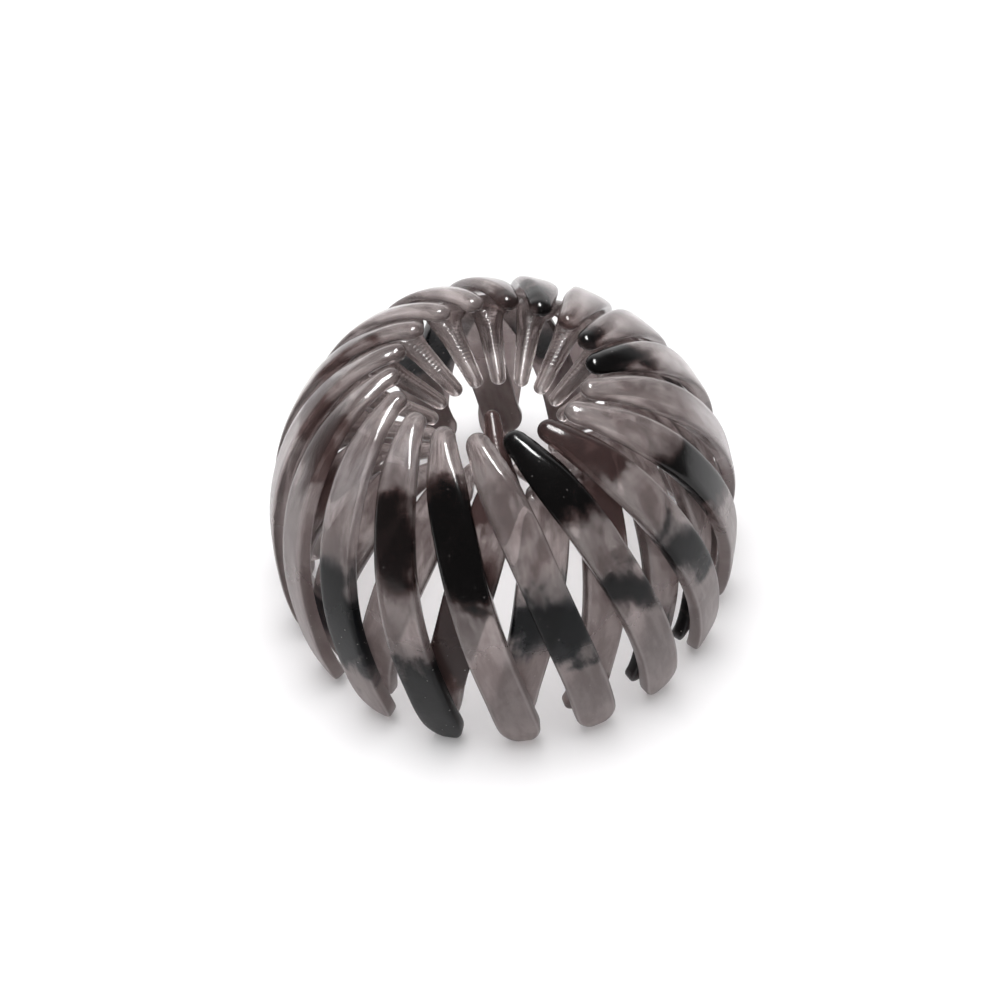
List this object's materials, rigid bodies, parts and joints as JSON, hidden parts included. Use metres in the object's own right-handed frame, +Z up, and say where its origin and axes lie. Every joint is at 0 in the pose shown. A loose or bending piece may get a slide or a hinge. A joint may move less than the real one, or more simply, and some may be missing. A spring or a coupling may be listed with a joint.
{
  "type": "bird nest hair clip",
  "caption": "Springy ball of curved slats in two crossing rings, open below and at the top, with fingers turned in through the hole to hold a bun.",
  "frame": {"origin": "on the ball's axis, at the height of the outer slats' feet, so the clip stands on the plane z = 0", "axes": "+Z up the ball's axis through the hole at the top, -Y towards the side that the picture shows, +X to the right of it"},
  "size_m": [0.08, 0.0798, 0.0526],
  "materials": {
    "outer_slat": "translucent smoky grey-brown plastic, moulded glossy, marbled with near-black and blue-grey patches",
    "inner_slat": "translucent smoky grey-brown plastic, moulded glossy, marbled with near-black and blue-grey patches"
  },
  "bodies": {
    "root": {"outer_slat_01": "outer_slat", "outer_slat_02": "outer_slat", "outer_slat_03": "outer_slat", "outer_slat_04": "outer_slat", "outer_slat_05": "outer_slat", "outer_slat_06": "outer_slat", "outer_slat_07": "outer_slat", "outer_slat_08": "outer_slat", "outer_slat_09": "outer_slat", "outer_slat_10": "outer_slat", "outer_slat_11": "outer_slat", "outer_slat_12": "outer_slat", "outer_slat_13": "outer_slat", "outer_slat_14": "outer_slat", "outer_slat_15": "outer_slat", "outer_slat_16": "outer_slat", "outer_slat_17": "outer_slat", "outer_slat_18": "outer_slat", "inner_slat_01": "inner_slat", "inner_slat_02": "inner_slat", "inner_slat_03": "inner_slat", "inner_slat_04": "inner_slat", "inner_slat_05": "inner_slat", "inner_slat_06": "inner_slat", "inner_slat_07": "inner_slat", "inner_slat_08": "inner_slat", "inner_slat_09": "inner_slat", "inner_slat_10": "inner_slat", "inner_slat_11": "inner_slat", "inner_slat_12": "inner_slat", "inner_slat_13": "inner_slat", "inner_slat_14": "inner_slat", "inner_slat_15": "inner_slat", "inner_slat_16": "inner_slat", "inner_slat_17": "inner_slat", "inner_slat_18": "inner_slat"}
  },
  "joints": []
}
